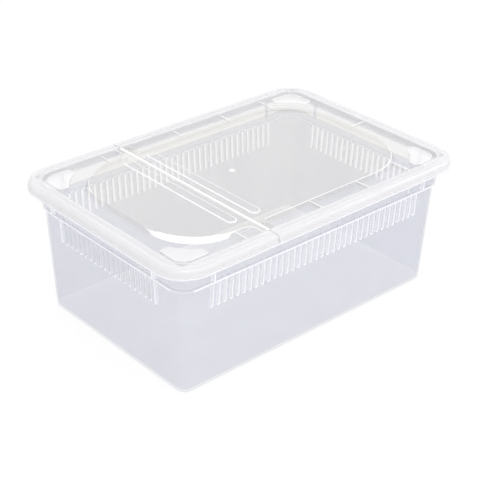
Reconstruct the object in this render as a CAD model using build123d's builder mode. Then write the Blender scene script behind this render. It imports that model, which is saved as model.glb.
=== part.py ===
from build123d import *
from math import atan, degrees, radians, sqrt, tan
import os

os.makedirs("parts", exist_ok=True)

# Ventilated keeping box: a drafted tub, a press-on lid and a feeding flap on a film hinge.
# Millimetres. X runs along the length with the flap at the -X end, Z is up from the base.

# Tub base and walls
base_length = 274.0
base_width = 174.0
base_corner_radius = 9.0
tub_wall = 1.5
floor_thickness = 1.8
foot_radius = 3.0
floor_edge_chamfer = 1.5
wall_draft = 3.15
ledge_height = 94.0

# Raised panel in the middle of the floor
floor_panel_inset = 23.5
floor_panel_rise = 0.8
floor_panel_radius = 3.0

# Collar above the ledge, the flange round it and the rim that stands up inside the lid
ledge_step = 1.6
collar_height = 17.5
collar_lean = 2.3
flange_width = 9.0
flange_thickness = 1.5
rim_height = 5.2

# Webs under the flange, one each side of every corner
web_thickness = 1.6
web_reach = 4.2
web_corner_gap = 13.5

# Ventilation slots in all four walls, from the inner step down
slot_width = 2.2
slot_height = 23.0
slot_pitch = 6.4
slot_corner_gap = 20.5

# Lid shell and its rim
lid_wall = 1.5
seat_gap = 0.3
rim_clearance = 0.5
top_edge_radius = 3.2
least_inner_chamfer = 0.3
skirt_bead = 0.5
skirt_bead_height = 1.8

# Gutter in the lid, which takes the foot of a box stacked on top
gutter_width_end = 16.5
gutter_width_side = 14.5
gutter_depth = 4.2
plateau_radius = 52.0
plateau_foot_radius = 44.0

# Cross ribs that stiffen the gutter, with one more across the end away from the flap
rib_thickness = 1.2
rib_drop = 0.8
flap_rib_place = -78.0
lid_rib_places = (0.0, 53.0, 101.0)

# Stacking pads in the gutter corners
pad_rim_gap = 3.5
pad_plateau_gap = 10.0
pad_inner_radius = 48.0
pad_reach = 30.0
pad_drop = 0.8
pad_radius = 3.0

# Feeding flap, its film hinge and where the gutter stops either side of it
hinge_place = -57.5
hinge_gap = 0.5
film_thickness = 0.4
flap_gutter_stop = 5.5
flap_gutter_radius = 8.0
lid_gutter_stop = 8.0
lid_gutter_radius = 3.0

# Raised stiffening beads beside the hinge
bead_length = 137.0
bead_width = 10.0
bead_height = 1.0
bead_edge_chamfer = 0.5
flap_bead_offset = 12.5
lid_bead_offset = 11.5

# Levels
flange_base = ledge_height + collar_height
flange_top = flange_base + flange_thickness
rim_top = flange_top + rim_height
lid_top = rim_top + seat_gap + lid_wall
skirt_base = flange_top + seat_gap
gutter_floor = lid_top - gutter_depth

# Growth of each outline over the base outline, so that every corner shares one centre
wall_lean = ledge_height * tan(radians(wall_draft))
ledge_growth = wall_lean + ledge_step
flange_growth = ledge_growth + collar_lean
lid_growth = flange_growth + flange_width
gutter_growth = flange_growth - tub_wall - rim_clearance - lid_wall
collar_draft = degrees(atan(collar_lean / collar_height))

# Flat under the rounded top edge that keeps one wall's thickness there
inner_edge_chamfer = (top_edge_radius - lid_wall) * (2 - sqrt(2))

# Plan sizes that follow from them
gutter_length = base_length + 2 * gutter_growth
gutter_width = base_width + 2 * gutter_growth
plateau_length = gutter_length - 2 * gutter_width_end
plateau_width = gutter_width - 2 * gutter_width_side
lid_length = base_length + 2 * lid_growth
lid_width = base_width + 2 * lid_growth


def plan(growth, mode=Mode.ADD):
    """Base outline grown evenly all round, about the same corner centres."""
    radius = max(base_corner_radius + growth, 0.5)
    length = base_length + 2 * growth
    width = base_width + 2 * growth
    return RectangleRounded(length, width, radius, mode=mode)


def plateau_plan(radius, growth=0.0):
    """Outline of the raised middle of the lid with this corner radius, grown evenly all round."""
    length = plateau_length + 2 * growth
    width = plateau_width + 2 * growth
    return RectangleRounded(length, width, radius + growth)


# Tub
slot_middle = ledge_height + tub_wall - slot_height / 2
long_slots = int((base_length - 2 * slot_corner_gap) / slot_pitch)
short_slots = int((base_width - 2 * slot_corner_gap) / slot_pitch)
web_places_x = base_length / 2 - base_corner_radius - web_corner_gap
web_places_y = base_width / 2 - base_corner_radius - web_corner_gap
web_span_x = base_length + 2 * (ledge_growth + web_reach)
web_span_y = base_width + 2 * (ledge_growth + web_reach)

with BuildPart() as tub:
    with BuildSketch():
        plan(0)
    extrude(amount=ledge_height, taper=-wall_draft)
    fillet(tub.edges().group_by(Axis.Z)[0], radius=foot_radius)
    with BuildSketch(Plane.XY.offset(ledge_height)):
        plan(ledge_growth)
    extrude(amount=collar_height, taper=-collar_draft)
    with BuildSketch(Plane.XY.offset(flange_base)):
        plan(lid_growth)
    extrude(amount=flange_thickness)
    with BuildSketch(Plane.XY.offset(flange_top)):
        plan(flange_growth)
    extrude(amount=rim_height)

    # Webs run right across here and the hollow then clears their middles
    with BuildSketch(Plane.XY.offset(ledge_height + web_reach)):
        with GridLocations(2 * web_places_x, 0, 2, 1):
            Rectangle(web_thickness, web_span_y)
        with GridLocations(0, 2 * web_places_y, 1, 2):
            Rectangle(web_span_x, web_thickness)
    extrude(amount=collar_height - web_reach)

    # Hollow, drafted like the outside, with its step one wall above the outer ledge
    with BuildSketch(Plane.XY.offset(ledge_height + tub_wall)):
        plan(ledge_growth - tub_wall + tub_wall * tan(radians(collar_draft)))
    extrude(amount=collar_height - tub_wall, taper=-collar_draft, mode=Mode.SUBTRACT)
    with BuildSketch(Plane.XY.offset(flange_base)):
        plan(flange_growth - tub_wall)
    extrude(amount=flange_thickness + rim_height, mode=Mode.SUBTRACT)
    with BuildSketch(Plane.XY.offset(floor_thickness)):
        plan(floor_thickness * tan(radians(wall_draft)) - tub_wall)
    extrude(amount=ledge_height + tub_wall - floor_thickness, taper=-wall_draft, mode=Mode.SUBTRACT)
    floor_edges = tub.edges().filter_by_position(Axis.Z, floor_thickness - 0.01, floor_thickness + 0.01)
    chamfer(floor_edges, length=floor_edge_chamfer)

    # Floor panel, pressed up from below
    panel_length = base_length - 2 * floor_panel_inset
    panel_width = base_width - 2 * floor_panel_inset
    with BuildSketch(Plane.XY.offset(floor_thickness)):
        RectangleRounded(panel_length, panel_width, floor_panel_radius)
    extrude(amount=floor_panel_rise)
    with BuildSketch():
        RectangleRounded(panel_length, panel_width, floor_panel_radius)
    extrude(amount=floor_panel_rise, mode=Mode.SUBTRACT)

    # Slots through the long walls, then the short ones, each open above through the inner step
    with BuildSketch(Plane.XZ):
        with Locations((0, slot_middle)):
            with GridLocations(slot_pitch, 0, long_slots, 1):
                Rectangle(slot_width, slot_height)
    extrude(amount=base_width / 2 + wall_lean, both=True, mode=Mode.SUBTRACT)
    with BuildSketch(Plane.YZ):
        with Locations((0, slot_middle)):
            with GridLocations(slot_pitch, 0, short_slots, 1):
                Rectangle(slot_width, slot_height)
    extrude(amount=base_length / 2 + wall_lean, both=True, mode=Mode.SUBTRACT)

tub.part.label = "tub"
export_step(tub.part, "parts/tub.step")


# Whole lid shell, before it is parted at the hinge
with BuildPart() as shell:
    with BuildSketch(Plane.XY.offset(skirt_base)):
        plan(lid_growth - skirt_bead)
    extrude(amount=lid_top - skirt_base)
    fillet(shell.edges().group_by(Axis.Z)[-1], radius=top_edge_radius)
    with BuildSketch(Plane.XY.offset(skirt_base)):
        plan(lid_growth)
    extrude(amount=skirt_bead_height)
    with BuildSketch(Plane.XY.offset(skirt_base)):
        plan(lid_growth - skirt_bead - lid_wall)
    extrude(amount=lid_top - lid_wall - skirt_base, mode=Mode.SUBTRACT)
    under_top = lid_top - lid_wall
    inner_edges = shell.edges().filter_by_position(Axis.Z, under_top - 0.01, under_top + 0.01)
    chamfer(inner_edges, length=max(inner_edge_chamfer, least_inner_chamfer))

# Raised middle of the lid, whose corners lean back from the gutter
with BuildPart() as plateau:
    with BuildSketch(Plane.XY.offset(gutter_floor)):
        plateau_plan(plateau_foot_radius)
    with BuildSketch(Plane.XY.offset(lid_top)):
        plateau_plan(plateau_radius)
    loft()

# Space under the raised middle, one wall inside it
with BuildPart() as recess:
    with BuildSketch(Plane.XY.offset(gutter_floor - lid_wall)):
        plateau_plan(plateau_foot_radius, -lid_wall)
    extrude(amount=lid_wall)
    with BuildSketch(Plane.XY.offset(gutter_floor)):
        plateau_plan(plateau_foot_radius, -lid_wall)
    with BuildSketch(Plane.XY.offset(lid_top - lid_wall)):
        plateau_plan(plateau_radius, -lid_wall)
    loft()


def gutter_hollow(start, stop, end_radius):
    """Hollow of the gutter between two X places, rounded where it stops beside the hinge."""
    with BuildPart() as hollow:
        with BuildSketch(Plane.XY.offset(gutter_floor)):
            plan(gutter_growth)
            with Locations(((start + stop) / 2, 0)):
                Rectangle(abs(stop - start), gutter_width, mode=Mode.INTERSECT)
        extrude(amount=gutter_depth)
        add(plateau.part, mode=Mode.SUBTRACT)
        end_edges = hollow.edges().filter_by_position(Axis.X, stop - 0.01, stop + 0.01)
        uprights = end_edges.filter_by_position(Axis.Z, gutter_floor + 0.01, lid_top - 0.01)
        inner_uprights = uprights.filter_by_position(Axis.Y, 0.01 - gutter_width / 2, gutter_width / 2 - 0.01)
        fillet(inner_uprights, radius=end_radius)
    return hollow.part


def on_pad_window(corner):
    """Whether a pad's corner is one of the four that end it, not a join of line and arc."""
    from_end = gutter_length / 2 - abs(corner.X)
    from_side = gutter_width / 2 - abs(corner.Y)
    return abs(from_end - pad_reach) < 0.01 or abs(from_side - pad_reach) < 0.01


def gutter_fittings(hollow, rib_places, end_rib_length):
    """Curved stacking pads and cross ribs that stand in this hollow."""
    with BuildPart() as fittings:
        with BuildSketch(Plane.XY.offset(gutter_floor)) as pads:
            plan(gutter_growth - pad_rim_gap)
            pad_inner_length = plateau_length + 2 * pad_plateau_gap
            pad_inner_width = plateau_width + 2 * pad_plateau_gap
            RectangleRounded(pad_inner_length, pad_inner_width, pad_inner_radius, mode=Mode.SUBTRACT)
            Rectangle(gutter_length - 2 * pad_reach, gutter_width, mode=Mode.SUBTRACT)
            Rectangle(gutter_length, gutter_width - 2 * pad_reach, mode=Mode.SUBTRACT)
            fillet(pads.vertices().filter_by(on_pad_window), radius=pad_radius)
        extrude(amount=gutter_depth - pad_drop)
        with BuildSketch(Plane.XY.offset(gutter_floor)):
            for place in rib_places:
                with Locations((place, 0)):
                    Rectangle(rib_thickness, gutter_width)
            if end_rib_length > 0:
                with Locations((end_rib_length / 2, 0)):
                    Rectangle(end_rib_length, rib_thickness)
        extrude(amount=gutter_depth - rib_drop)
        add(hollow, mode=Mode.INTERSECT)
    return fittings.part


flap_gutter_end = hinge_place - flap_gutter_stop
lid_gutter_end = hinge_place + lid_gutter_stop
flap_hollow = gutter_hollow(-gutter_length / 2, flap_gutter_end, flap_gutter_radius)
lid_hollow = gutter_hollow(gutter_length / 2, lid_gutter_end, lid_gutter_radius)

# Feeding flap
with BuildPart() as feeding_flap:
    add(shell.part)
    split(bisect_by=Plane.YZ.offset(hinge_place - hinge_gap), keep=Keep.BOTTOM)
    with BuildSketch(Plane.XY.offset(gutter_floor - lid_wall)):
        plan(gutter_growth + lid_wall)
        with Locations((flap_gutter_end + lid_wall, 0)):
            Rectangle(lid_length, lid_width, align=(Align.MAX, Align.CENTER), mode=Mode.INTERSECT)
    extrude(amount=gutter_depth)
    add(recess.part, mode=Mode.SUBTRACT)
    add(flap_hollow, mode=Mode.SUBTRACT)
    add(gutter_fittings(flap_hollow, (flap_rib_place,), 0))
    with BuildSketch(Plane.XY.offset(lid_top)):
        with Locations((hinge_place - flap_bead_offset, 0)):
            SlotOverall(bead_length, bead_width, rotation=90)
    extrude(amount=bead_height)
    chamfer(feeding_flap.edges().group_by(Axis.Z)[-1], length=min(bead_edge_chamfer, bead_height / 2))

feeding_flap.part.label = "feeding_flap"
export_step(feeding_flap.part, "parts/feeding_flap.step")

# Main lid, with the hinge film along its edge
with BuildPart() as main_lid:
    add(shell.part)
    split(bisect_by=Plane.YZ.offset(hinge_place + hinge_gap), keep=Keep.TOP)
    with BuildSketch(Plane.XY.offset(gutter_floor - lid_wall)):
        plan(gutter_growth + lid_wall)
        with Locations((lid_gutter_end - lid_wall, 0)):
            Rectangle(lid_length, lid_width, align=(Align.MIN, Align.CENTER), mode=Mode.INTERSECT)
    extrude(amount=gutter_depth)
    add(recess.part, mode=Mode.SUBTRACT)
    add(lid_hollow, mode=Mode.SUBTRACT)
    add(gutter_fittings(lid_hollow, lid_rib_places, gutter_length / 2))
    with BuildSketch(Plane.XY.offset(lid_top)):
        with Locations((hinge_place + lid_bead_offset, 0)):
            SlotOverall(bead_length, bead_width, rotation=90)
    extrude(amount=bead_height)
    chamfer(main_lid.edges().group_by(Axis.Z)[-1], length=min(bead_edge_chamfer, bead_height / 2))
    with BuildSketch(Plane.XZ.offset(-gutter_width / 2)):
        with Locations((hinge_place, lid_top - film_thickness / 2)):
            Circle(film_thickness / 2)
            Rectangle(hinge_gap, film_thickness, align=(Align.MIN, Align.CENTER))
    extrude(amount=gutter_width)

main_lid.part.label = "main_lid"
export_step(main_lid.part, "parts/main_lid.step")

print("lid", round(lid_length, 1), "x", round(lid_width, 1), "x", round(lid_top, 1))
print("slots", long_slots, "long side,", short_slots, "short side")
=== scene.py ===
import math

import bmesh
import bpy
from mathutils import Matrix, Vector


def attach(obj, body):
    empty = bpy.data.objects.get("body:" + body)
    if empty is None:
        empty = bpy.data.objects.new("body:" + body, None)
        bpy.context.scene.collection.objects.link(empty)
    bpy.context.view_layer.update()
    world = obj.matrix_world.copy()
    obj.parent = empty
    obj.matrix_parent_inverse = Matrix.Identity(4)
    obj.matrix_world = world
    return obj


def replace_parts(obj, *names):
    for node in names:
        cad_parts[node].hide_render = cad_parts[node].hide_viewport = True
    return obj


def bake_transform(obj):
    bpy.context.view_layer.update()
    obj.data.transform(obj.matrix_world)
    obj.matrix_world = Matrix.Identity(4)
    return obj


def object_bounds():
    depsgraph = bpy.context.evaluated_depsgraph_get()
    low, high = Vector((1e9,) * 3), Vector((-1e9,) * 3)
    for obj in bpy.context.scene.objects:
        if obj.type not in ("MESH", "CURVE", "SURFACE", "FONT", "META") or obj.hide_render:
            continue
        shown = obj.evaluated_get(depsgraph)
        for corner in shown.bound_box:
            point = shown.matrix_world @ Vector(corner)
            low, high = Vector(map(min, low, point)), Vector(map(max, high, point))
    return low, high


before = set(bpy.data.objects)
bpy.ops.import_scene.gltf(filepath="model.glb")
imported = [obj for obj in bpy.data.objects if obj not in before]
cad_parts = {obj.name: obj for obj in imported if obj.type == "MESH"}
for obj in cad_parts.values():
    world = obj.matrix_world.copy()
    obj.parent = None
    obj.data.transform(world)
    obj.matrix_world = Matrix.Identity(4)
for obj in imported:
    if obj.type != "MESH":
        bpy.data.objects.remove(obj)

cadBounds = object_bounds()
mm = 0.001  # the frame is in metres, the pieces' values below are in millimetres
near = 0.01  # levels closer than this are the same level
halfLength, halfWidth = (round(side / mm) for side in cadBounds[1][:2])  # the lid's, which the rest follows


def inside(distance):
    return halfLength - distance, halfWidth - distance


# One camera fitted to the photograph, in metres and degrees
cameraView = {
    "azimuth": -42.023,
    "elevation": 29.535,
    "distance": 1.079259,
    "shiftRight": -0.002178,
    "shiftUp": -0.008964,
    "roll": 0.983,
    "focal": 95.471,
    "aimHeight": 0.06,
    "clip": (0.05, 50),
}


def placeCamera(view):
    azimuth = math.radians(view["azimuth"])
    elevation = math.radians(view["elevation"])
    level = math.cos(elevation)
    back = Vector((math.sin(azimuth) * level, -math.cos(azimuth) * level, math.sin(elevation)))
    right = Vector((math.cos(azimuth), math.sin(azimuth), 0))
    up = back.cross(right)
    aim = Vector((0, 0, view["aimHeight"])) + right * view["shiftRight"] + up * view["shiftUp"]
    roll = math.radians(view["roll"])
    turnedRight = right * math.cos(roll) + up * math.sin(roll)
    turnedUp = up * math.cos(roll) - right * math.sin(roll)
    turn = Matrix((turnedRight, turnedUp, back)).transposed().to_4x4()
    camera = bpy.data.objects.new("camera", bpy.data.cameras.new("camera"))
    bpy.context.scene.collection.objects.link(camera)
    camera.data.lens = view["focal"]
    camera.data.clip_start, camera.data.clip_end = view["clip"]
    camera.matrix_world = Matrix.Translation(aim + back * view["distance"]) @ turn
    bpy.context.scene.camera = camera


placeCamera(cameraView)
print("camera ready")

studio = {
    "floorSize": 12.0,
    "floorLevel": -0.0005,
    "floorColour": (0.92, 0.92, 0.92, 1),
    "floorGlow": 0.75,  # the rest is paint, which keeps the object's shadow
    "worldLevel": 1.0,
    "clearLayers": 32,  # a line of sight near the gutter crosses more walls than the usual 8
    "aimHeight": 0.06,
    "lamps": [
        # name, place, size, power
        ("keyLamp", (-0.7, -1.3, 2.1), 0.7, 14),
        ("sideLamp", (1.9, -0.6, 1.6), 0.9, 9),
    ],
}


def addMath(nodes, operation, first=None, second=None):
    node = nodes.new("ShaderNodeMath")
    node.operation = operation
    for socket, value in zip(node.inputs, (first, second)):
        if value is not None:
            socket.default_value = value
    return node


def paintFloor(values):
    paint = bpy.data.materials.new("floorPaint")
    paint.use_nodes = True
    nodes, links = paint.node_tree.nodes, paint.node_tree.links
    nodes.clear()
    diffuse = nodes.new("ShaderNodeBsdfDiffuse")
    diffuse.inputs["Color"].default_value = values["floorColour"]
    glow = nodes.new("ShaderNodeEmission")
    path = nodes.new("ShaderNodeLightPath")
    seenOrMirrored = addMath(nodes, "MAXIMUM")
    seenAnyWay = addMath(nodes, "MAXIMUM")
    share = addMath(nodes, "MULTIPLY", second=values["floorGlow"])
    mix = nodes.new("ShaderNodeMixShader")
    out = nodes.new("ShaderNodeOutputMaterial")
    links.new(path.outputs["Is Camera Ray"], seenOrMirrored.inputs[0])
    links.new(path.outputs["Is Glossy Ray"], seenOrMirrored.inputs[1])
    links.new(seenOrMirrored.outputs[0], seenAnyWay.inputs[0])
    links.new(path.outputs["Is Transmission Ray"], seenAnyWay.inputs[1])
    links.new(seenAnyWay.outputs[0], share.inputs[0])
    links.new(share.outputs[0], mix.inputs[0])
    links.new(diffuse.outputs[0], mix.inputs[1])
    links.new(glow.outputs[0], mix.inputs[2])
    links.new(mix.outputs[0], out.inputs["Surface"])
    return paint


def makeFloor(values):
    mesh = bpy.data.meshes.new("floor")
    made = bmesh.new()
    bmesh.ops.create_grid(made, x_segments=1, y_segments=1, size=values["floorSize"] / 2)
    made.to_mesh(mesh)
    made.free()
    mesh.materials.append(paintFloor(values))
    floor = bpy.data.objects.new("floor", mesh)
    bpy.context.scene.collection.objects.link(floor)
    floor.location.z = values["floorLevel"]


def makeLights(values):
    world = bpy.data.worlds.new("studio")
    bpy.context.scene.world = world
    world.use_nodes = True
    background = world.node_tree.nodes["Background"]
    background.inputs["Color"].default_value = (1, 1, 1, 1)
    background.inputs["Strength"].default_value = values["worldLevel"]
    aim = Vector((0, 0, values["aimHeight"]))
    for name, place, size, power in values["lamps"]:
        lamp = bpy.data.lights.new(name, "AREA")
        lamp.energy = power
        lamp.size = size
        holder = bpy.data.objects.new(name, lamp)
        bpy.context.scene.collection.objects.link(holder)
        holder.location = place
        holder.rotation_euler = (Vector(place) - aim).to_track_quat("Z", "Y").to_euler()


bpy.context.scene.view_settings.view_transform = "Standard"
bpy.context.scene.cycles.transparent_max_bounces = studio["clearLayers"]
makeFloor(studio)
makeLights(studio)
print("studio ready")

# Clear moulded plastic, whose kinds differ in the light they pass and in how white and thick their haze is;
# the near-white edge, bead and glint kinds are painted highlights, and the paler copies for the far sides are
# painted light
plasticShared = {
    "hazeRoughness": 0.35,
    "glossRoughness": 0.08,
    "cloudScale": 14.0,  # cloudy patches per metre, roughly
    "cloudDetail": 3,
    "cloudSpan": (0.35, 0.65),
    "mostCloud": 1.0,
    "rippleScale": 40.0,
    "rippleDetail": 2,
    "rippleHeight": 0.00001,
    "shadowPass": 0.8,  # haze scatters light onwards, so a wall dims what is behind it less than it clouds it
}

plasticKinds = {
    # name: light that passes one surface, haze colour, share of haze, least cloud, ior
    "tubWall": ((0.94, 0.943, 0.957, 1), (0.73, 0.735, 0.81, 1), 0.22, 0.85, 1.49),
    "tubFloor": ((0.944, 0.947, 0.957, 1), (0.8, 0.8, 0.82, 1), 0.06, 0.7, 1.49),
    "tubRim": ((0.985, 0.985, 0.987, 1), (0.85, 0.845, 0.86, 1), 0.55, 0.9, 1.49),
    # painted highlight: nearly white haze on the tub's edges and lines, standing in for the light they catch
    "tubEdgeHighlight": ((0.998, 0.998, 0.999, 1), (0.95, 0.955, 1, 1), 0.85, 0.95, 1.49),
    # painted light: a paler, clearer copy of the wall plastic for the far sides' upper collar
    "tubLitCopy": ((0.97, 0.97, 0.973, 1), (0.93, 0.93, 0.94, 1), 0.06, 0.7, 1.1),
    "tubGlint": ((1, 1, 1, 1), (1, 1, 1, 1), 0.01, 0.7, 1.05),
    "lidWall": ((0.958, 0.952, 0.938, 1), (0.79, 0.785, 0.775, 1), 0.08, 0.7, 1.49),
    "lidRim": ((0.985, 0.985, 0.987, 1), (0.85, 0.845, 0.86, 1), 0.55, 0.9, 1.49),
    # painted highlight: nearly white haze on the lid's edges, standing in for the light they catch
    "lidEdgeHighlight": ((0.998, 0.998, 0.999, 1), (1, 1, 1, 1), 0.95, 0.95, 1.49),
    "lidRidge": ((0.99, 0.99, 0.992, 1), (0.93, 0.93, 0.95, 1), 0.28, 0.9, 1.49),
    # painted highlight: the beads' white outline
    "lidBeadHighlight": ((0.99, 0.99, 0.992, 1), (0.93, 0.93, 0.94, 1), 0.75, 0.9, 1.49),
    "lidGutter": ((0.962, 0.962, 0.966, 1), (0.8, 0.8, 0.82, 1), 0.08, 0.7, 1.49),
    # painted light: a paler, clearer copy of the lid plastic for the far side and the gutter's ends beside
    # the hinge
    "lidLitCopy": ((0.972, 0.971, 0.966, 1), (0.9, 0.9, 0.9, 1), 0.04, 0.7, 1.3),
}


def makeCloudGroup(shared):
    group = bpy.data.node_groups.new("cloudAndRipple", "ShaderNodeTree")
    for name in ("Cloud Scale", "Least", "Most", "Ripple Scale"):
        group.interface.new_socket(name=name, in_out="INPUT", socket_type="NodeSocketFloat")
    for name in ("Cloud", "Ripple"):
        group.interface.new_socket(name=name, in_out="OUTPUT", socket_type="NodeSocketFloat")
    nodes, links = group.nodes, group.links
    given = nodes.new("NodeGroupInput")
    result = nodes.new("NodeGroupOutput")
    place = nodes.new("ShaderNodeTexCoord")
    cloud = nodes.new("ShaderNodeTexNoise")
    cloud.inputs["Detail"].default_value = shared["cloudDetail"]
    span = nodes.new("ShaderNodeMapRange")
    span.inputs["From Min"].default_value, span.inputs["From Max"].default_value = shared["cloudSpan"]
    ripple = nodes.new("ShaderNodeTexNoise")
    ripple.inputs["Detail"].default_value = shared["rippleDetail"]
    links.new(place.outputs["Object"], cloud.inputs["Vector"])
    links.new(place.outputs["Object"], ripple.inputs["Vector"])
    links.new(given.outputs["Cloud Scale"], cloud.inputs["Scale"])
    links.new(given.outputs["Ripple Scale"], ripple.inputs["Scale"])
    links.new(cloud.outputs["Fac"], span.inputs["Value"])
    links.new(given.outputs["Least"], span.inputs["To Min"])
    links.new(given.outputs["Most"], span.inputs["To Max"])
    links.new(span.outputs["Result"], result.inputs["Cloud"])
    links.new(ripple.outputs["Fac"], result.inputs["Ripple"])
    return group


cloudGroup = makeCloudGroup(plasticShared)


def makePlastic(name, shared, kind):
    passing, hazeColour, haze, leastCloud, ior = kind
    material = bpy.data.materials.new(name)
    material.use_nodes = True
    nodes, links = material.node_tree.nodes, material.node_tree.links

    cloud = nodes.new("ShaderNodeGroup")
    cloud.node_tree = cloudGroup
    cloud.inputs["Cloud Scale"].default_value = shared["cloudScale"]
    cloud.inputs["Ripple Scale"].default_value = shared["rippleScale"]
    cloud.inputs["Least"].default_value = leastCloud
    cloud.inputs["Most"].default_value = shared["mostCloud"]
    bump = nodes.new("ShaderNodeBump")
    bump.inputs["Distance"].default_value = shared["rippleHeight"]
    links.new(cloud.outputs["Ripple"], bump.inputs["Height"])

    # haze over clear plastic
    clear = nodes.new("ShaderNodeBsdfTransparent")
    clear.inputs["Color"].default_value = passing
    body = nodes["Principled BSDF"]
    body.inputs["Base Color"].default_value = hazeColour
    body.inputs["Roughness"].default_value = shared["hazeRoughness"]
    body.inputs["IOR"].default_value = ior
    hazed = nodes.new("ShaderNodeMixShader")
    hazed.inputs[0].default_value = haze
    links.new(cloud.outputs["Cloud"], body.inputs["Alpha"])
    links.new(bump.outputs["Normal"], body.inputs["Normal"])
    links.new(clear.outputs[0], hazed.inputs[1])
    links.new(body.outputs[0], hazed.inputs[2])

    # gloss on the outer side only, since light leaving a wall is not mirrored back here
    gloss = nodes.new("ShaderNodeBsdfGlossy")
    gloss.inputs["Roughness"].default_value = shared["glossRoughness"]
    fresnel = nodes.new("ShaderNodeFresnel")
    fresnel.inputs["IOR"].default_value = ior
    facing = nodes.new("ShaderNodeNewGeometry")
    outside = addMath(nodes, "SUBTRACT", first=1)
    mirrored = addMath(nodes, "MULTIPLY")
    glazed = nodes.new("ShaderNodeMixShader")
    links.new(bump.outputs["Normal"], gloss.inputs["Normal"])
    links.new(facing.outputs["Backfacing"], outside.inputs[1])
    links.new(fresnel.outputs[0], mirrored.inputs[0])
    links.new(outside.outputs[0], mirrored.inputs[1])
    links.new(mirrored.outputs[0], glazed.inputs[0])
    links.new(hazed.outputs[0], glazed.inputs[1])
    links.new(gloss.outputs[0], glazed.inputs[2])

    path = nodes.new("ShaderNodeLightPath")
    passed = addMath(nodes, "MULTIPLY", second=shared["shadowPass"])
    lit = nodes.new("ShaderNodeMixShader")
    links.new(path.outputs["Is Shadow Ray"], passed.inputs[0])
    links.new(passed.outputs[0], lit.inputs[0])
    links.new(glazed.outputs[0], lit.inputs[1])
    links.new(clear.outputs[0], lit.inputs[2])
    links.new(lit.outputs[0], nodes["Material Output"].inputs["Surface"])
    return material


plastics = {name: makePlastic(name, plasticShared, kind) for name, kind in plasticKinds.items()}
print("plastics ready")

moulding = {
    "mergeWithin": 0.005,
    "cutWithin": 0.002,
    "flatWithin": 1.5,  # degrees
    "rollAbove": 32,
    "sharpAbove": 50,
    "rollSteps": 2,
}


def copySolid(node):
    made = bmesh.new()
    made.from_mesh(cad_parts[node].data)
    bmesh.ops.remove_doubles(made, verts=made.verts, dist=moulding["mergeWithin"] * mm)
    flat = math.radians(moulding["flatWithin"])
    bmesh.ops.dissolve_limit(made, angle_limit=flat, verts=made.verts, edges=made.edges)
    return made


def splitAt(made, place, normal, faces=None, **options):
    if faces is None:
        geometry = made.verts[:] + made.edges[:] + made.faces[:]
    else:
        edges = dict.fromkeys(edge for face in faces for edge in face.edges)
        verts = dict.fromkeys(vert for face in faces for vert in face.verts)
        geometry = faces + list(edges) + list(verts)
    cut = bmesh.ops.bisect_plane(
        made, geom=geometry, dist=moulding["cutWithin"] * mm,
        plane_co=Vector(place) * mm, plane_no=normal, **options,
    )
    return [item for item in cut["geom_cut"] if isinstance(item, bmesh.types.BMEdge)]


def sharpEdges(made):
    made.normal_update()
    least = math.radians(moulding["rollAbove"])
    return [edge for edge in made.edges if edge.calc_face_angle(0) > least]


def rollEdges(made, edges, roll, steps):
    return bmesh.ops.bevel(
        made, geom=edges, offset=roll * mm, affect="EDGES", segments=steps,
        profile=0.5, material=-1, clamp_overlap=False,
    )["faces"]


def insetFaces(made, faces, width):
    inset = bmesh.ops.inset_region(made, faces=faces, thickness=width * mm, use_even_offset=True)
    return set(inset["faces"])


def centreOf(face):
    return face.calc_center_median() / mm


def middleOf(edge):
    return (edge.verts[0].co + edge.verts[1].co) / 2 / mm


def heightsOf(face):
    heights = [vert.co.z / mm for vert in face.verts]
    return min(heights), max(heights)


def atLevel(item, level):
    return all(abs(vert.co.z / mm - level) < near for vert in item.verts)


def meshFrom(made, name, kinds):
    mesh = bpy.data.meshes.new(name)
    for face in made.faces:
        face.smooth = True
    made.to_mesh(mesh)
    made.free()
    for kind in kinds:
        mesh.materials.append(plastics[kind])
    return mesh


# At a corner the broad faces decide the shading of the narrow rolls beside them, never across a sharp edge
def evenNormals(mesh):
    around = [[] for vert in mesh.vertices]
    for face in mesh.polygons:
        for vert in face.vertices:
            around[vert].append(face)
    least = math.cos(math.radians(moulding["sharpAbove"]))
    normals = []
    for face in mesh.polygons:
        for vert in face.vertices:
            alike = [other for other in around[vert] if face.normal.dot(other.normal) > least]
            normals.append(sum((other.normal * other.area for other in alike), Vector()).normalized())
    mesh.normals_split_custom_set(normals)


def finishPiece(made, name, kinds, body):
    mesh = meshFrom(made, name, kinds)
    evenNormals(mesh)
    piece = bpy.data.objects.new(name, mesh)
    bpy.context.scene.collection.objects.link(piece)
    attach(piece, body)
    print(name, "ready,", len(mesh.polygons), "faces")
    return piece


# A name that ends in "In" is a distance inside the lid's outline
tubValues = {
    "kinds": ("tubWall", "tubFloor", "tubRim", "tubEdgeHighlight", "tubLitCopy", "tubGlint"),
    "roll": 0.45,
    "slotBottom": 72.5,
    "slotRound": 1.05,
    "slotSteps": 3,
    "slotDepth": (1.3, 1.7),
    "slotSideBelow": 0.5,
    "faintWithin": 56.0,  # the flap end's middle slots show only faint lines
    "faintAbove": 75.0,
    "wallIn": 25.0,
    "wallBelow": 0.3,  # the z of a wall's normal
    "flatAbove": 0.9,  # the z of a level face's normal
    "floorBelow": 3.4,
    "panelIn": 41.5,
    "panelSlack": 1.0,
    "panelLine": 2.0,
    "farLine": 3.0,
    "ledgeLevel": 94.0,
    "ledgeIn": 11.23,
    "ledgeSlack": 0.3,
    "stepLevel": 95.5,  # inner step, too narrow beside the slots to roll
    "lineTop": 96.0,  # top of the white line painted on the collar's foot, a painted highlight
    "clearAbove": 101.5,  # upper collar, thinner than its foot
    "websIn": 40.5,
    "webHalf": 0.9,
    "webAbove": 98.0,
    # upper collar, which on the far sides takes a paler copy of the wall plastic, painted light
    "webFromIn": 11.0,
    "rimAbove": 111.4,
}


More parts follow.
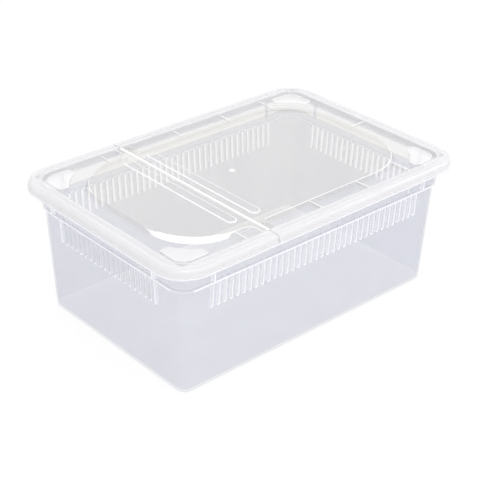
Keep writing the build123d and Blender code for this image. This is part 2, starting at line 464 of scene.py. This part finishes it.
def slotKind(face, values):
    centre, normal = centreOf(face), face.normal
    wallX, wallY = inside(values["wallIn"])
    sideBelow = values["slotSideBelow"]
    if not values["slotBottom"] < centre.z < values["stepLevel"]:
        return None
    # painted highlights: slot sides are painted white, save the flap end's middle slots, which keep the wall
    # plastic
    if abs(centre.y) > wallY and abs(normal.y) < sideBelow and abs(centre.x) < wallX:
        return "tubEdgeHighlight"
    if abs(centre.x) > wallX and abs(normal.x) < sideBelow and abs(centre.y) < wallY:
        faint = centre.x < 0 and abs(centre.y) < values["faintWithin"] and abs(normal.z) < sideBelow
        return "tubWall" if faint else "tubEdgeHighlight"
    return None


def onWeb(face, values):
    centre = centreOf(face)
    webX, webY = inside(values["websIn"])
    fromX, fromY = inside(values["webFromIn"])
    along = abs(abs(centre.x) - webX) < values["webHalf"] and abs(centre.y) > fromY
    across = abs(abs(centre.y) - webY) < values["webHalf"] and abs(centre.x) > fromX
    return heightsOf(face)[0] > values["webAbove"] and (along or across)


def onLedgeLine(face, values):
    centre = centreOf(face)
    low, high = heightsOf(face)
    ledgeX, ledgeY = inside(values["ledgeIn"])
    outermost = max(abs(centre.x) - ledgeX, abs(centre.y) - ledgeY) > -values["ledgeSlack"]
    between = low > values["ledgeLevel"] - near and high < values["lineTop"] + near
    return between and outermost and abs(face.normal.z) < values["wallBelow"]


def tubKind(face, panelLines, values):
    centre = centreOf(face)
    low, high = heightsOf(face)
    wallX, wallY = inside(values["wallIn"])
    lineX, lineY = inside(values["panelIn"] + values["farLine"])
    farStep = atLevel(face, values["stepLevel"]) and centre.x * wallY + centre.y * wallX > 0
    slot = slotKind(face, values)
    if slot:
        return slot
    # painted highlights: the far inner step, the webs and the line on the collar's foot are painted white
    if farStep or onWeb(face, values) or onLedgeLine(face, values):
        return "tubEdgeHighlight"
    if face in panelLines and (centre.y > lineY or centre.x > lineX):
        return "tubGlint"
    # painted light: the upper collar on the far sides takes a paler copy of the wall plastic
    if low > values["clearAbove"] - near and (centre.y > wallY or centre.x > wallX):
        return "tubLitCopy"
    if low > values["rimAbove"]:
        return "tubRim"
    return "tubFloor" if high < values["floorBelow"] else "tubWall"


def isPanel(face, values):
    panelX, panelY = inside(values["panelIn"] - values["panelSlack"])
    within = all(abs(vert.co.x) / mm < panelX and abs(vert.co.y) / mm < panelY for vert in face.verts)
    return within and abs(face.normal.z) > values["flatAbove"] and heightsOf(face)[1] < values["floorBelow"]


def makeTub(values):
    made = copySolid("tub")
    least, most = values["slotDepth"]
    slotCorners = [
        edge for edge in made.edges
        if atLevel(edge, values["slotBottom"]) and least * mm < edge.calc_length() < most * mm
    ]
    rollEdges(made, slotCorners, values["slotRound"], values["slotSteps"])

    # part the faces where the plastic's look changes, among them the painted white lines and the far sides'
    # paler collar
    made.normal_update()
    walls = [face for face in made.faces if abs(face.normal.z) < values["wallBelow"]]
    collar = [
        face for face in walls
        if abs(heightsOf(face)[0] - values["ledgeLevel"]) < near and heightsOf(face)[1] > values["webAbove"]
    ]
    splitAt(made, (0, 0, values["lineTop"]), (0, 0, 1), collar)
    upper = [
        face for face in made.faces
        if abs(face.normal.z) < values["wallBelow"] and heightsOf(face)[1] > values["clearAbove"]
    ]
    splitAt(made, (0, 0, values["clearAbove"]), (0, 0, 1), upper)
    wallX, wallY = inside(values["wallIn"])
    steps = [face for face in made.faces if atLevel(face, values["stepLevel"])]
    splitAt(made, (0, 0, 0), (wallY, wallX, 0), steps)
    panelLines = insetFaces(made, [face for face in made.faces if isPanel(face, values)], values["panelLine"])

    kinds = values["kinds"]
    for face in made.faces:
        face.material_index = kinds.index(tubKind(face, panelLines, values))
    edges = [
        edge for edge in sharpEdges(made)
        if middleOf(edge).z > values["floorBelow"] and not atLevel(edge, values["stepLevel"])
    ]
    # painted highlight: rolled edges are painted white, save on the flap end's middle slots
    for face in rollEdges(made, edges, values["roll"], moulding["rollSteps"]):
        centre = centreOf(face)
        faint = (
            centre.x < -wallX and abs(centre.y) < values["faintWithin"]
            and values["faintAbove"] < centre.z < values["stepLevel"]
        )
        face.material_index = kinds.index("tubWall" if faint else "tubEdgeHighlight")
    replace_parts(finishPiece(made, "tubShell", kinds, "tub"), "tub")


makeTub(tubValues)

# A reach is a distance out from the rectangle between the centres of the lid's round corners
lidValues = {
    "kinds": ("lidWall", "lidRim", "lidEdgeHighlight", "lidLitCopy", "lidGutter", "lidBeadHighlight"),
    "roll": 0.35,
    "cornerIn": 27.0,
    "gutterReach": 14.3,  # the gutter's outer wall
    "rimReach": 15.2,  # where the heavy rim starts
    "trayReach": 16.5,
    "farFrom": (118.0, 70.0),
    "wallBelow": 0.15,
    "flatAbove": 0.97,
    "top": 120.0,
    "wallTop": 119.5,
    "underTop": 118.4,
    "gutterFloor": 115.8,
    "padTop": 119.2,
    "beadTop": 121.0,
    "beadBand": 0.8,
    "hingeFace": -56.99,
    "hingeReach": 22.0,
    "faintEnd": (-124.0, 74.0),
}


def reachOf(point, values):
    cornerX, cornerY = inside(values["cornerIn"])
    return math.hypot(max(abs(point.x) - cornerX, 0), max(abs(point.y) - cornerY, 0))


def lidKind(face, bands, values):
    centre, slope = centreOf(face), face.normal.z
    low, high = heightsOf(face)
    reach = reachOf(centre, values)
    farX, farY = values["farFrom"]
    isWall = abs(slope) < values["wallBelow"]
    highlightCorner = centre.x < 0 and centre.y < 0
    leaning = values["wallBelow"] < slope < values["flatAbove"] and centre.z > values["gutterFloor"]
    far = (centre.y > farY or centre.x > farX) and (low < values["underTop"] or slope < values["flatAbove"])
    besideHinge = abs(centre.x - values["hingeFace"]) < values["hingeReach"]
    gutterEnd = besideHinge and isWall and centre.z < values["wallTop"]
    outerWall = isWall and reach > values["gutterReach"]
    # painted highlight: the band round each bead top is painted white as the bead's bright outline
    if face in bands:
        return "lidBeadHighlight"
    # painted highlight: the plateau's leaning wall is painted white at the near corner only, where the key
    # lamp catches it; above the top it takes the beads' painted outline
    if leaning and reach < values["gutterReach"] and (highlightCorner or centre.z > values["top"]):
        return "lidBeadHighlight" if centre.z > values["top"] else "lidEdgeHighlight"
    # painted light: the far side and the gutter's ends beside the hinge take a paler copy of the lid plastic
    if reach < values["rimReach"] and (far or gutterEnd):
        return "lidLitCopy"
    if reach > values["rimReach"] or outerWall or atLevel(face, values["padTop"]):
        return "lidRim"
    return "lidGutter" if high < values["underTop"] else "lidWall"


def isRolled(edge, values):
    middle = middleOf(edge)
    onTop = middle.z > values["gutterFloor"]
    onSkirt = reachOf(middle, values) > values["trayReach"]
    return edge.is_convex and (onTop or onSkirt)


def rollKind(face, values):
    centre = centreOf(face)
    faintX, faintY = values["faintEnd"]
    # painted highlights: rolled edges are painted white, on the beads as their outline, save at the flap's
    # end
    if reachOf(centre, values) > values["gutterReach"]:
        return "lidRim"
    if centre.z > values["top"]:
        return "lidBeadHighlight"
    faint = centre.x < faintX and abs(centre.y) < faintY and centre.z > values["padTop"]
    return "lidWall" if faint else "lidEdgeHighlight"


def makeLidPart(node, name, body, values, cutAtHinge=False):
    made = copySolid(node)
    if cutAtHinge:  # the solid's stiff film gives way to the thin film made below
        opened = splitAt(made, (values["hingeFace"], 0, 0), (-1, 0, 0), clear_outer=True)
        bmesh.ops.edgeloop_fill(made, edges=opened)

    # part the faces where the plastic's look changes, among them the far side's paler copy and the beads'
    # painted outlines
    rimX, rimY = (corner + values["rimReach"] for corner in inside(values["cornerIn"]))
    farX, farY = values["farFrom"]
    for across in (rimY, -rimY, farY):
        splitAt(made, (0, across, 0), (0, 1, 0))
    for along in (rimX, -rimX, farX):
        splitAt(made, (along, 0, 0), (1, 0, 0))
    beadTops = [face for face in made.faces if atLevel(face, values["beadTop"])]
    bands = insetFaces(made, beadTops, values["beadBand"])

    kinds = values["kinds"]
    made.normal_update()
    for face in made.faces:
        face.material_index = kinds.index(lidKind(face, bands, values))
    edges = [edge for edge in sharpEdges(made) if isRolled(edge, values)]
    for face in rollEdges(made, edges, values["roll"], moulding["rollSteps"]):
        face.material_index = kinds.index(rollKind(face, values))
    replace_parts(finishPiece(made, name, kinds, body), node)


makeLidPart("main_lid", "lidShell", "lid", lidValues, cutAtHinge=True)
makeLidPart("feeding_flap", "flapShell", "flap", lidValues)

filmValues = {
    "section": (
        # across the hinge, height
        (-58.7, 119.97), (-58.2, 119.97), (-57.95, 119.9), (-57.7, 119.8), (-57.5, 119.78),
        (-57.3, 119.8), (-57.05, 119.9), (-56.8, 119.97), (-56.3, 119.97),
    ),
    "thickness": 0.3,
    "halfLength": 92.2,
    "steps": 24,
    "bend": ((-0.057, 0, 0.12), (-0.058, 0, 0.12)),  # metres: where it leaves the lid and meets the flap
}


def makeFilm(values):
    made = bmesh.new()
    verts = [made.verts.new((x, -values["halfLength"], z)) for x, z in values["section"]]
    strip = [made.edges.new(pair) for pair in zip(verts, verts[1:])]
    stride = 2 * values["halfLength"] / values["steps"]
    for step in range(values["steps"]):
        grown = bmesh.ops.extrude_edge_only(made, edges=strip)["geom"]
        moved = [item for item in grown if isinstance(item, bmesh.types.BMVert)]
        grownEdges = [item for item in grown if isinstance(item, bmesh.types.BMEdge)]
        strip = [edge for edge in grownEdges if all(vert in moved for vert in edge.verts)]
        bmesh.ops.translate(made, verts=moved, vec=(0, stride, 0))
    bmesh.ops.recalc_face_normals(made, faces=made.faces)
    if made.faces[0].normal.z < 0:
        bmesh.ops.reverse_faces(made, faces=made.faces)
    bmesh.ops.solidify(made, geom=made.faces[:], thickness=values["thickness"])
    bmesh.ops.scale(made, vec=(mm, mm, mm), verts=made.verts)
    # painted highlight: the film takes the white edge plastic
    mesh = meshFrom(made, "hingeFilm", ("lidEdgeHighlight",))
    mesh.set_sharp_from_angle(angle=math.radians(moulding["sharpAbove"]))
    film = bpy.data.objects.new("hingeFilm", mesh)
    bpy.context.scene.collection.objects.link(film)
    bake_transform(film)
    print("hinge film ready,", len(mesh.polygons), "faces")


makeFilm(filmValues)

ridgeValues = {
    "reaches": (17.6, 23.3),  # of the ridges' outer edges
    "width": 2.6,
    "levels": (119.9, 120.22),
    "cornerSteps": 10,
    "roll": 0.12,
    "rollSteps": 2,
    "sides": {
        # body: where it starts, which way it goes; clear of each other with the flap laid back
        "lid": (-56.0, 1),
        "flap": (-59.0, -1),
    },
}


def makeRidge(reach, place, side, values):
    low, high = values["levels"]
    made = bmesh.new()
    bmesh.ops.create_grid(made, x_segments=1, y_segments=1, size=1)
    halfX, halfY = (corner + reach for corner in inside(lidValues["cornerIn"]))
    bmesh.ops.scale(made, vec=(halfX, halfY, 1), verts=made.verts)
    bmesh.ops.bevel(
        made, geom=made.verts[:], offset=reach, affect="VERTICES",
        segments=values["cornerSteps"], profile=0.5, material=-1,
    )
    inner = made.faces[:]
    bmesh.ops.inset_region(
        made, faces=inner, thickness=values["width"], use_boundary=True, use_even_offset=True,
    )
    bmesh.ops.delete(made, geom=inner, context="FACES_ONLY")
    bmesh.ops.translate(made, verts=made.verts, vec=(0, 0, low))
    grown = bmesh.ops.extrude_face_region(made, geom=made.faces[:])["geom"]
    raised = [item for item in grown if isinstance(item, bmesh.types.BMVert)]
    bmesh.ops.translate(made, verts=raised, vec=(0, 0, high - low))
    cut = bmesh.ops.bisect_plane(
        made, geom=made.verts[:] + made.edges[:] + made.faces[:], dist=moulding["cutWithin"],
        plane_co=(place, 0, 0), plane_no=(side, 0, 0), clear_inner=True,
    )["geom_cut"]
    bmesh.ops.edgeloop_fill(made, edges=[item for item in cut if isinstance(item, bmesh.types.BMEdge)])
    bmesh.ops.recalc_face_normals(made, faces=made.faces)
    top = [
        edge for edge in made.edges
        if all(vert.co.z > high - near for vert in edge.verts) and edge.calc_face_angle(0) > 1
    ]
    bmesh.ops.bevel(
        made, geom=top, offset=values["roll"], affect="EDGES",
        segments=values["rollSteps"], profile=0.5, material=-1,
    )
    bmesh.ops.scale(made, vec=(mm, mm, mm), verts=made.verts)
    mesh = bpy.data.meshes.new("ridge")
    made.to_mesh(mesh)
    made.free()
    return mesh


def makeRimRidges(body, values):
    place, side = values["sides"][body]
    made = bmesh.new()
    for reach in values["reaches"]:
        ridge = makeRidge(reach, place, side, values)
        made.from_mesh(ridge)
        bpy.data.meshes.remove(ridge)
    finishPiece(made, body + "RimRidges", ("lidRidge",), body)


for body in ridgeValues["sides"]:
    makeRimRidges(body, ridgeValues)

gateValues = {
    "place": (-13.0, 0.0, 120.0),
    "profile": (
        # radius, height
        (2.6, -0.05), (2.5, 0.12), (2.2, 0.12), (2.0, 0.0), (1.1, 0.0), (0.8, 0.3), (0.35, 0.38),
    ),
    "steps": 20,
}


def makeGateMark(values):
    made = bmesh.new()
    verts = [made.verts.new((radius, 0, height)) for radius, height in values["profile"]]
    line = [made.edges.new(pair) for pair in zip(verts, verts[1:])]
    bmesh.ops.spin(
        made, geom=verts + line, cent=(0, 0, 0), axis=(0, 0, 1), dvec=(0, 0, 0),
        angle=math.tau, steps=values["steps"], use_merge=True, use_duplicate=False,
    )
    bmesh.ops.remove_doubles(made, verts=made.verts, dist=0.001)
    bmesh.ops.holes_fill(made, edges=made.edges, sides=values["steps"])
    bmesh.ops.recalc_face_normals(made, faces=made.faces)
    bmesh.ops.translate(made, verts=made.verts, vec=values["place"])
    bmesh.ops.scale(made, vec=(mm, mm, mm), verts=made.verts)
    # painted highlight: the mark takes the white edge plastic
    finishPiece(made, "gateMark", ("lidEdgeHighlight",), "lid")


makeGateMark(gateValues)
